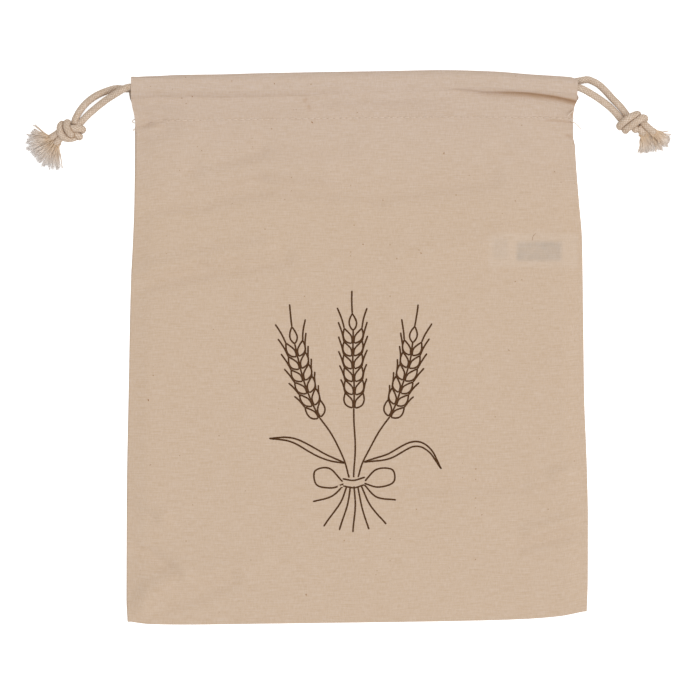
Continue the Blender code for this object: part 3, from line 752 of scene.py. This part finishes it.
# Distances of the cloth's outermost grid lines from its edges.
EDGE_LINES = np.array([
    0, 0.12, 0.35, 0.7, 1.15, 1.7, 2.5, 3.5, 4.8, 6.3, 8, 10, 12.2, 14.6, 17.2, 20,
])
MIDDLE_SHARES = np.linspace(0, 1, 121)[1:-1]
COLUMNS = 2 * len(EDGE_LINES) + len(MIDDLE_SHARES)
BODY_ROWS = 160
SECTION_ROWS = 3  # grid rows from one point of a section to the next
LIP_POINT = 8  # which point of the front's section is the pleat's lip
STITCH_ZONE = 14.0  # below the hem stitches the rows lie closer over this length


def section_rows(points, pieces):
    """Rows of points on a smooth curve through each column's control points."""
    points = [np.stack(np.broadcast_arrays(*point), axis=-1) for point in points]
    return spline(points, [pieces] * (len(points) - 1))


def columns_at(y, inset=0.0):
    """X of every column, for an array of one y per column."""
    left, right = along(LEFT_EDGE, y) + inset, along(RIGHT_EDGE, y) - inset
    edge, reach = len(EDGE_LINES), EDGE_LINES[-1]
    inner_left, inner_right = left[edge:-edge], right[edge:-edge]
    middle = inner_left + reach + MIDDLE_SHARES * (inner_right - inner_left - 2 * reach)
    return np.concatenate([left[:edge] + EDGE_LINES, middle, right[-edge:] - EDGE_LINES[::-1]])


def settle(y_of_x):
    """Columns on a row whose y follows x: x depends on y only slightly, so three rounds do."""
    x = columns_at(np.zeros(COLUMNS))
    for _ in range(3):
        y = y_of_x(np.clip(x, -HALF_WIDTH, HALF_WIDTH))
        x = columns_at(y)
    return x, y


def body_rows(edge_lines, count, upper):
    """Rows from the bottom edge up to an upper line, first along the edge and then evenly."""
    rows = [settle(lambda x, d=d: along(BOTTOM_EDGE, x) + d) for d in edge_lines]
    for share in np.linspace(0, 1, count):
        rows.append(settle(
            lambda x, s=share: (along(BOTTOM_EDGE, x) + EDGE_LINES[-1]) * (1 - s) + upper(x) * s
        ))
    return rows


def flap_inset(row, first, last):
    """How far the turned-over flap's ends lie inside the seams, from a section point on."""
    return FLAP_INSET * float(ease(row, SECTION_ROWS * first, SECTION_ROWS * last))


def panel_mesh(name, rows, finish, thick=CLOTH, crease_shade=None):
    """A cloth from rows of points (each columns by 3, in mm), given its thickness."""
    grid = np.array(rows)
    count, columns = grid.shape[:2]
    index = np.arange(count * columns).reshape(count, columns)
    quads = np.stack([index[:-1, :-1], index[:-1, 1:], index[1:, 1:], index[1:, :-1]], axis=-1)
    faces = quads.reshape(-1, 4)
    down = run_along(grid[:, columns // 2])[:, None] * np.ones(columns)
    flat = np.stack([grid[..., 0], down], axis=-1).reshape(-1, 2) * MM
    part = (grid.reshape(-1, 3), faces.tolist(), flat[faces].tolist())
    obj = make_mesh(name, [part], finish, None if crease_shade is None else crease_shade.ravel())
    thickness = obj.modifiers.new("thickness", "SOLIDIFY")
    thickness.thickness = thick * MM
    thickness.offset = 0.0
    thickness.use_quality_normals = True
    bpy.context.view_layer.objects.active = obj
    bpy.ops.object.modifier_apply(modifier="thickness")
    return obj


# The label's left, lower, right and upper edge, as it shows through the front.
LABEL_BOX = (87.0, 53.0, 145.5, 79.5)


def cloth_material(name):
    """Plain weave: uneven yarns both ways, thick slubs across, small seed specks, and painted shade
    in creases.
    """
    made = Nodes(name, 0.9, (0.608, 0.462, 0.347))
    uv = made.uv
    split = made.add("ShaderNodeSeparateXYZ", {"Vector": uv})
    pitch = 2 * math.pi / (WEAVE * MM)
    warp = made.math("SINE", made.times(split.outputs["X"], pitch))
    weft = made.math("SINE", made.times(split.outputs["Y"], pitch))
    weave = made.times(warp, weft)
    slub = made.streaks(95, 1600)
    thread = made.streaks(1600, 230)
    mottle = made.noise(uv, 420, 3, 0.65)
    broad = made.noise(uv, 22)
    yellow = made.noise(uv, 1500, 2, 0.7)
    colour = made.mix(made.span(broad, 0.3, 0.7), (0.606, 0.460, 0.345), (0.626, 0.480, 0.365))
    colour = made.mix(made.span(yellow, 0.38, 0.62), (0.61, 0.455, 0.312), colour)
    for pattern, low, high, share, tone in (
        (yellow, 0.5, 0.75, 0.8, (0.62, 0.49, 0.42)),
        (slub, 0.48, 0.75, 0.6, (0.68, 0.55, 0.45)),
        (slub, 0.48, 0.25, 0.55, (0.53, 0.38, 0.255)),
        (thread, 0.5, 0.75, 0.5, (0.68, 0.55, 0.46)),
        (thread, 0.5, 0.25, 0.38, (0.55, 0.405, 0.29)),
        (mottle, 0.5, 0.75, 0.4, (0.535, 0.39, 0.27)),
    ):
        colour = made.mix(made.span(pattern, low, high, 0, share), colour, tone)
    specks = made.add("ShaderNodeTexVoronoi", {"Vector": uv, "Scale": 230.0}, feature="F1")
    lot = made.add("ShaderNodeSeparateColor", {"Color": specks.outputs["Color"]})
    chosen = made.math("LESS_THAN", lot.outputs[0], 0.05)
    near = made.span(specks.outputs["Distance"], 0.13, 0.06)
    speck = made.times(made.times(chosen, near), 0.75)
    colour = made.mix(speck, colour, (0.36, 0.20, 0.10))
    height = made.math("ADD", made.times(weave, 0.25), made.times(slub, 1.2))
    height = made.math("ADD", height, made.times(thread, 0.8))
    split = made.add("ShaderNodeSeparateXYZ", {"Vector": made.place})
    doubled = made.span(split.outputs["Y"], 0.085, 0.172)
    tint = made.mix(doubled, (1, 1, 1), (0.995, 1.02, 1.09))
    colour = made.mix(1, colour, tint, "MULTIPLY")
    # Painted shade: browner and darker where the piece's crease attribute is set.
    painted_shade = made.mix(1, colour, (0.78, 0.64, 0.50), "MULTIPLY")
    return made, made.mix(made.crease_shade(), colour, painted_shade), made.bump(height, 0.0001, 0.5)


def front_material():
    """The front's cotton, with the pale inner label showing faintly through it."""
    made, colour, normal = cloth_material("unbleached cotton front")
    split = made.add("ShaderNodeSeparateXYZ", {"Vector": made.place})
    x0, y0, x1, y1 = (c * MM for c in LABEL_BOX)

    def inside(left, low, right, high, soft):
        product = 1
        for socket, edge, way in (("X", left, 1), ("X", right, -1), ("Y", low, 1), ("Y", high, -1)):
            band = made.span(split.outputs[socket], edge - soft * way, edge + soft * way)
            product = made.times(product, band)
        return product

    patchy = made.span(made.noise(made.place, 110, 3, 0.6), 0.3, 0.7, 0.45, 1.0)
    pale = made.times(inside(x0, y0, x1, y1 - 0.004, 0.0012), 0.14)
    colour = made.mix(pale, colour, (0.73, 0.63, 0.54))
    middle = inside(x0 + 0.0185, y0 + 0.0045, x1 - 0.0105, y1 - 0.0095, 0.0015)
    beside = inside(x0 + 0.003, y0 + 0.006, x0 + 0.0125, y1 - 0.008, 0.0015)
    middle = made.math("MAXIMUM", middle, made.times(beside, 0.4))
    grey = made.mix(1, colour, (0.81, 0.85, 0.90), "MULTIPLY")
    return made.finish(made.mix(made.times(middle, patchy), colour, grey), normal)


front_cotton = front_material()


def front_crease_shades(rows, lip):
    """How much painted shade each point gets for lying in a crease: under the pleat's lip, or where
    the sewing pulls.
    """
    grid = np.array(rows)
    x, y = grid[..., 0], grid[..., 1]
    depth = ease(x, 72, 118) * (1 - ease(along(VALLEY_LINE, x) - y, 0.8, 5.0))
    pulled = -0.5 * sum(rises([row for row in CREASES if row[-1] < 0], x, y))
    before_lip = 1 - ease(np.arange(len(rows)), lip - 1, lip + 2)[:, None]
    return np.clip(np.maximum(depth, pulled), 0, 1) * before_lip


front_rows = body_rows(
    EDGE_LINES[:-1], BODY_ROWS + 1, lambda x: along(STITCH_LINE, x) - STITCH_ZONE
)
for offset in [*np.arange(1.0 - STITCH_ZONE, -6.0, 1.0), *np.arange(-6.0, 0.01, 0.5)]:
    front_rows.append(settle(lambda x, o=offset: along(STITCH_LINE, x) + o))
grid_rows = []
for x, y in front_rows:
    inside = np.minimum(side_distance(x, y), y - along(BOTTOM_EDGE, x))
    below = along(STITCH_LINE, x) - y
    z = body_height(x, y)
    z = z + (rounded_edge(z, inside, SEAM_HEIGHT - 0.3) - z) * ease(below, -1.0, 5.0)
    z = z - STITCH_DIP * np.exp(-((below / 0.8) ** 2))
    grid_rows.append(np.stack([x, y, z], axis=-1))
lip_row = len(grid_rows) + SECTION_ROWS * LIP_POINT
base_x = columns_at(np.full(COLUMNS, 170.0))
inner_x = np.clip(base_x, -HALF_WIDTH, HALF_WIDTH)
for k, (y, z) in enumerate(np.moveaxis(section_rows(section_points(inner_x), SECTION_ROWS), 2, 1)):
    grid_rows.append(np.stack([columns_at(y, flap_inset(k, 15, 17)), y, z], axis=-1))
crease_shades = front_crease_shades(grid_rows, lip_row)
front = panel_mesh("front_cloth", grid_rows, front_cotton, crease_shade=crease_shades)
fit(front, "cotton_cloth", "front_panel")


# Care label
# A short blank tape, caught in the right side seam between the panels.
LABEL_ENDS = (87.0, 144.4)


def tape_material():
    made = Nodes("label tape", 0.85, (0.79, 0.75, 0.67))
    ribs = made.streaks(300, 2600)
    colour = made.mix(made.span(ribs, 0.3, 0.7), (0.74, 0.70, 0.62), (0.84, 0.80, 0.73))
    return made.finish(colour, made.bump(ribs, 0.0001, 0.5))


tape_rows = []
for y in np.linspace(*LABEL_BOX[1::2], 30):
    x = np.linspace(*LABEL_ENDS, 60)
    z = 0.95 + 0.75 * ease(side_distance(x, y), 0, 14) + 0.08 * np.sin(x / 5.0 + y / 9.0)
    tape_rows.append(np.stack([x, y + 0 * x, z], axis=-1))
label = panel_mesh("blank_label", tape_rows, tape_material(), 0.22)
fit(label, "label_tape", "care_label")


# Sewing, loose threads and seed flecks
# Pale lockstitches hold the channel down, each between two needle holes; a few thread ends are
# left at the side seams, and brown bits of seed coat lie in the cotton.
STITCH_PITCH = 4.2
THREAD_RADIUS, FIBRE_RADIUS = 0.3, 0.1
THREAD_ENDS = [
    [(141.2, 150, 3.4), (143.6, 148.6, 2.6), (146, 146.9, 1.2), (148.2, 144.1, 0.4)],
    [(139.2, 152.9, 5.9), (140.7, 154.5, 6.5), (142.5, 156.1, 7)],
    [(-146.4, 151, 3.6), (-147.7, 150.5, 2.7), (-148.6, 149.6, 1.9), (-148.2, 148.7, 1.5),
     (-147.2, 148.5, 1.9)],
    [(-147, 144.4, 1.9), (-148, 143.9, 1.3), (-147.9, 143, 1.1)],
]
# One dark fibre that lies in the cloth.
FIBRE = [(117.9, 75.4), (116.3, 73.4), (115.8, 70.8)]
# Each fleck: its place and its size.
FLECKS = [
    (-108.8, 165.9, 1.1), (-54.5, 173.9, 0.9), (-29.8, 148.8, 1.2), (42.2, 62.4, 1),
    (40.9, 64.4, 0.7), (3.9, 68.3, 0.9), (17.1, 97.4, 0.8), (57.4, 128.4, 1.1),
    (-2, 80.9, 0.8), (-138, -34.7, 1.2), (100.3, -1.7, 0.9), (-136.7, -77.6, 0.9),
    (78.5, -80.2, 1), (82.4, -110.6, 0.8), (-33.7, -163.4, 1.2), (-115.6, 164.7, 0.8),
    (-136.3, 172.1, 0.5), (-121.9, 170.3, 0.5), (-82.6, 175.7, 0.6), (-40.3, 157, 0.5),
    (-41.8, 157, 0.5), (-105.5, 132.6, 0.5), (-102.6, 130.1, 0.6), (-80.5, 130.5, 0.5),
    (-69.1, 132.6, 0.5), (115.7, 26, 0.5), (-95, 12, 0.6), (-70.2, -140.5, 0.5),
    (120.5, -60.3, 0.5), (12.4, -150.2, 0.6), (96, 88.5, 0.5), (-126, 62, 0.6),
]


def front_top(x, y):
    """Height of the front's outer face at one place."""
    if y <= along(STITCH_LINE, x):
        return float(body_height(x, y)) + CLOTH / 2
    rows = section_rows(section_points(np.array([x])), 4)[:, 0]
    return CLOTH / 2 + max(
        z0 + (z1 - z0) * (y - y0) / (y1 - y0)
        for (y0, z0), (y1, z1) in zip(rows[:-1], rows[1:])
        if min(y0, y1) <= y <= max(y0, y1) and y0 != y1
    )


def speck(x, y, length, radius, bearing):
    """A short, nearly flush bead in the cloth's face."""
    across, up = length / 2 * math.cos(bearing), length / 2 * math.sin(bearing)
    z = front_top(x, y) - radius * 0.55
    route = [(x - across, y - up, z), (x, y, z + radius * 0.2), (x + across, y + up, z)]
    return tube_arrays(route, [radius * 0.6, radius, radius * 0.6], 8, False)


def thread_material():
    made = Nodes("sewing thread", 0.8, (0.755, 0.63, 0.52))
    plies = made.noise(made.uv, 2500)
    colour = made.mix(made.span(plies, 0.35, 0.65), (0.71, 0.58, 0.465), (0.80, 0.68, 0.575))
    return made.finish(colour, made.bump(plies, 0.00008, 0.6))


# Seed flecks, and needle holes drawn as dark beads of painted shade.
def seed_and_hole_shade_material(name, dark, light):
    made = Nodes(name, 0.7, dark)
    patch = made.noise(made.place, 2200)
    return made.finish(made.mix(made.span(patch, 0.4, 0.6), dark, light))


sewing_thread = thread_material()
stitches, holes = [], []
for x in np.arange(-128.6, 141.0, STITCH_PITCH):
    xs = x + np.array([0.45, 0.8, 1.5, 2.2, 2.9, 3.3])
    ys = along(STITCH_LINE, xs)
    rise = np.array([-0.1, 0.2, 0.3, 0.3, 0.2, -0.1])
    zs = body_height(xs, ys) + CLOTH / 2 - STITCH_DIP + rise
    route = np.stack([xs, ys, zs], axis=-1)
    stitches.append(tube_arrays(route, [0.16, 0.23, 0.26, 0.26, 0.23, 0.16], 10, False))
    # Each needle hole is a small dark bead: painted shade in the hole.
    holes.append(speck(x, float(along(STITCH_LINE, x)) - 0.1, 0.36, 0.14, 0.4))
ends = [tube_arrays(even_route(points, 0.3), THREAD_RADIUS, 8, False) for points in THREAD_ENDS]
draw = random.Random(5)
seeds = [speck(x, y, 1.2 * size, 0.26 * size + 0.1, draw.uniform(0, 3)) for x, y, size in FLECKS]
fibre = [(x, y, front_top(x, y) + 0.06) for x, y in FIBRE]
seeds.append(tube_arrays(even_route(fibre, 0.3), FIBRE_RADIUS, 8, False))
for name, parts, finish in (
    ("hem_stitches", stitches, sewing_thread),
    # Needle holes, dark with painted shade.
    ("needle_holes", holes, seed_and_hole_shade_material("needle holes", (0.44, 0.29, 0.17), (0.52, 0.37, 0.25))),
    ("thread_ends", ends, sewing_thread),
    ("seed_flecks", seeds, seed_and_hole_shade_material("seed flecks", (0.24, 0.105, 0.04), (0.44, 0.24, 0.11))),
):
    fit(make_mesh(name, parts, finish), "cotton_cloth")


# Print
# A generic line drawing of three tied wheat ears in dark brown ink. Each stroke is a thin film
# that follows the cloth, and the weave breaks the ink up a little.
INK_WIDTH = 1.15
INK_LIFT = 0.04
INK_STEP = 0.7
# Each ear: its foot, its bearing in degrees and how fast it leans over.
EARS = [((-25, -46), 116, -0.35), ((-2, -40), 91, 0), ((21.5, -46), 65, 0.35)]
STEMS = [
    [(-5, -86), (-8.5, -74), (-17, -58), (-25, -46)],
    [(-2, -86), (-1.5, -68), (-2, -40)],
    [(1, -86), (4.5, -74), (13.5, -58), (21.5, -46)],
    [(-7, -92), (-12, -104), (-22, -118)],
    [(-4.5, -92), (-7, -106), (-11.5, -121)],
    [(-2, -92), (-1.5, -106), (-2.5, -122)],
    [(0.5, -92), (3, -106), (8, -120)],
    [(3, -92), (8.5, -104), (19, -117)],
    [(-9.5, -86.5), (-2, -88), (5.5, -86)],
    [(-9, -91.5), (-2, -93), (5, -91)],
    [(-9.5, -88.5), (-18, -80), (-28, -82), (-27, -91), (-17, -92.5), (-9, -90)],
    [(5.5, -88.5), (13, -80.5), (23, -80.5), (24, -89), (14, -92), (5, -90)],
    [(-9, -91), (-17, -98), (-29, -102)],
    [(5, -91), (13, -98.5), (26, -101)],
]
LEAVES = [
    ([(-8, -76), (-22, -72), (-40, -62), (-58, -60)], 3.8),
    ([(4.5, -76), (20, -72), (37, -64), (48, -68), (56, -80)], 3.6),
]
GRAINS = 6
GRAIN_STEP = 8.6
GRAIN_SIZE = (11.0, 5.0)


def across(line):
    """Unit directions across a flat line, one for each of its points."""
    ahead = np.gradient(line, axis=0)
    ahead /= np.linalg.norm(ahead, axis=1)[:, None]
    return np.stack([-ahead[:, 1], ahead[:, 0]], axis=-1)


def leaf_sides(points, width):
    """The two sides of a leaf or a grain, from its foot to its tip, round a middle line."""
    middle = smooth_route(points, 1)
    aside = across(middle)
    swell = np.sin(math.pi * np.linspace(0, 1, len(middle)) ** 0.85)[:, None] * width / 2
    return [middle + aside * swell, middle - aside * swell]


def wheat_ear(foot, bearing, turn):
    """Strokes of one ear: its axis, its paired grains and their awns."""
    strokes, axis = [], [np.array(foot)]
    for k in range(GRAINS + 1):
        place, way = axis[-1], math.radians(bearing + turn * GRAIN_STEP * k)
        for side in (-1, 1) if k < GRAINS else (0,):
            lean = heading(way + side * 0.47)
            base = place + heading(way + side * 1.57) * 0.9 * abs(side)
            tip = base + lean * GRAIN_SIZE[0]
            swell = tip * 0.5 + base * 0.5 + heading(way + side * 1.57) * 0.7 * abs(side)
            strokes += leaf_sides([base, swell, tip], GRAIN_SIZE[1])
            bend = tip + heading(way + side * 0.24) * 6.0
            strokes.append([tip, bend, tip + heading(way + side * 0.30) * (10.0 + 0.8 * k)])
        axis.append(place + heading(way) * GRAIN_STEP)
    return [*strokes, axis[:-1]]


def ink_ribbon(points, number):
    """A flat film along a stroke, with round ends and a slightly uneven edge."""
    drawn = random.Random(number)
    flat = even_route(points, INK_STEP)
    flat = flat + 0.3 * np.stack(
        [np.sin(flat[:, 1] / 6 + flat[:, 0] / 11), np.sin(flat[:, 0] / 5 - flat[:, 1] / 12)],
        axis=-1,
    )
    aside = across(flat)
    run = np.arange(len(flat)) * INK_STEP
    end = np.clip(np.minimum(run, run[::-1]) / (INK_WIDTH / 2) + 0.25, 0, 1)
    half = INK_WIDTH / 2 * np.sqrt(1 - (1 - end) ** 2)
    edges = [half * (1 + np.array([drawn.gauss(0, 0.05) for _ in flat])) for _ in range(2)]
    lines = []
    for share in (-1, -0.5, 0, 0.5, 1):
        place = flat + aside * (share * edges[0 if share < 0 else 1])[:, None]
        z = body_height(place[:, 0], place[:, 1]) + CLOTH / 2 + INK_LIFT + number * 0.0001
        lines.append(np.stack([place[:, 0], place[:, 1], z], axis=-1))
    points = np.stack(lines, axis=1).reshape(-1, 3)
    index = np.arange(len(points)).reshape(-1, 5)
    quads = np.stack([index[:-1, 1:], index[:-1, :-1], index[1:, :-1], index[1:, 1:]], axis=-1)
    faces = quads.reshape(-1, 4)
    return points, faces.tolist(), (points[:, :2] * MM)[faces].tolist()


def ink_material():
    made = Nodes("brown ink", 0.85, (0.078, 0.032, 0.0105))
    weft = made.streaks(500, 1900)
    grain = made.noise(made.uv, 1500, 2, 0.6)
    colour = made.mix(made.span(weft, 0.35, 0.7), (0.066, 0.027, 0.008), (0.105, 0.048, 0.019))
    worn = made.times(made.span(grain, 0.56, 0.72), made.span(weft, 0.4, 0.65))
    colour = made.mix(made.times(worn, 0.4), colour, (0.36, 0.24, 0.155))
    return made.finish(colour, made.bump(weft, 0.00006, 0.5))


strokes = [line for ear in EARS for line in wheat_ear(*ear)] + STEMS
strokes += [side for points, width in LEAVES for side in leaf_sides(points, width)]
ribbons = [ink_ribbon(points, number) for number, points in enumerate(strokes)]
ink = fit(make_mesh("wheat_print", ribbons, ink_material()), "print_ink")


# Back panel
# The same cloth lies flat on the surface, and its own channel goes round the other runs of the
# cords. It meets the front at the side and bottom seams.
BACK_HEIGHT = 0.45
# How far the back's channel reaches past the front's at each end, where it peeks out.
LEFT_PEEK = [(-190, 0), (161, 0), (163, 0.6), (166, 1.3), (168, 1.4), (169.2, 0), (190, 0)]
RIGHT_PEEK = [
    (-190, 0), (160.3, 0), (162.5, 0.6), (164.7, 1.3), (166, 0.9), (167.3, 0), (190, 0),
]


def back_section(x):
    low, up = lower_cord(x), back_upper_cord(x)
    top = along(TOP_EDGE, x) + 0.9 * ease(x, BACK_LIFT_FROM, BACK_LIFT_TO)
    stitch = along(STITCH_LINE, x)
    return [
        (low - 8, BACK_HEIGHT),
        (low, BACK_HEIGHT),
        (top - 3.2, BACK_HEIGHT),
        (top - 1.4, 0.95),
        (top - 0.7, 2.4),
        (top - 0.7, 4.2),
        (top - 1.4, 6),
        (up + 0.9, 7.1),
        (low, 7),
        (low - 2.4, 6.1),
        (low - 3.6, 4),
        (low - 5, 2),
        (stitch + 4, 1.3),
        (stitch - 2.6, 1.25),
    ]


back_rows = body_rows(EDGE_LINES[:-1:2], 60, lambda x: lower_cord(x) - 10.0)
grid_rows = [np.stack([x, y, BACK_HEIGHT + 0 * x], axis=-1) for x, y in back_rows]
for k, (y, z) in enumerate(np.moveaxis(section_rows(back_section(inner_x), SECTION_ROWS), 2, 1)):
    inset = flap_inset(k, 10, 12)
    left, right = (columns_at(y, inset - along(peek, y)) for peek in (LEFT_PEEK, RIGHT_PEEK))
    x = left + (right - left) * ease(base_x, -HALF_WIDTH, HALF_WIDTH)
    grid_rows.append(np.stack([x, y, z], axis=-1))
made, colour, normal = cloth_material("unbleached cotton back")
back = panel_mesh("back_cloth", grid_rows, made.finish(colour, normal))
fit(back, "cotton_cloth", "back_panel")


# Studio
# A pale seamless floor that reads as white, a soft light all round and two wide soft boxes.
made = Nodes("pale floor", 0.9, (0.9, 0.9, 0.9))
seen = made.add("ShaderNodeLightPath").outputs["Is Camera Ray"]
made.shader.inputs["Emission Color"].default_value = (1, 1, 1, 1)
made.tree.links.new(made.times(seen, 0.75), made.shader.inputs["Emission Strength"])
floor_finish = made.finish(made.mix(seen, (0.72, 0.70, 0.68), (0.92, 0.92, 0.92)))
bpy.ops.mesh.primitive_plane_add(size=8, location=(0, 0, -0.0002))
floor = bpy.context.object
floor.name = "floor"
floor.data.materials.append(floor_finish)

world = bpy.data.worlds.new("studio")
world.use_nodes = True
light_round = world.node_tree.nodes["Background"].inputs
light_round["Color"].default_value = (1, 1, 1, 1)
light_round["Strength"].default_value = 0.68
bpy.context.scene.world = world
for place, power in (((2.0, -2.0, 4.0), 68.0), ((1.0, 2.5, 4.25), 36.0)):
    light = bpy.data.lights.new("soft box", "AREA")
    light.shape = "SQUARE"
    light.size = 3.0
    light.energy = power
    box = bpy.data.objects.new("soft box", light)
    box.location = place
    box.rotation_euler = (-Vector(place)).to_track_quat("-Z", "Y").to_euler()
    bpy.context.scene.collection.objects.link(box)

bpy.context.scene.view_settings.view_transform = "Standard"
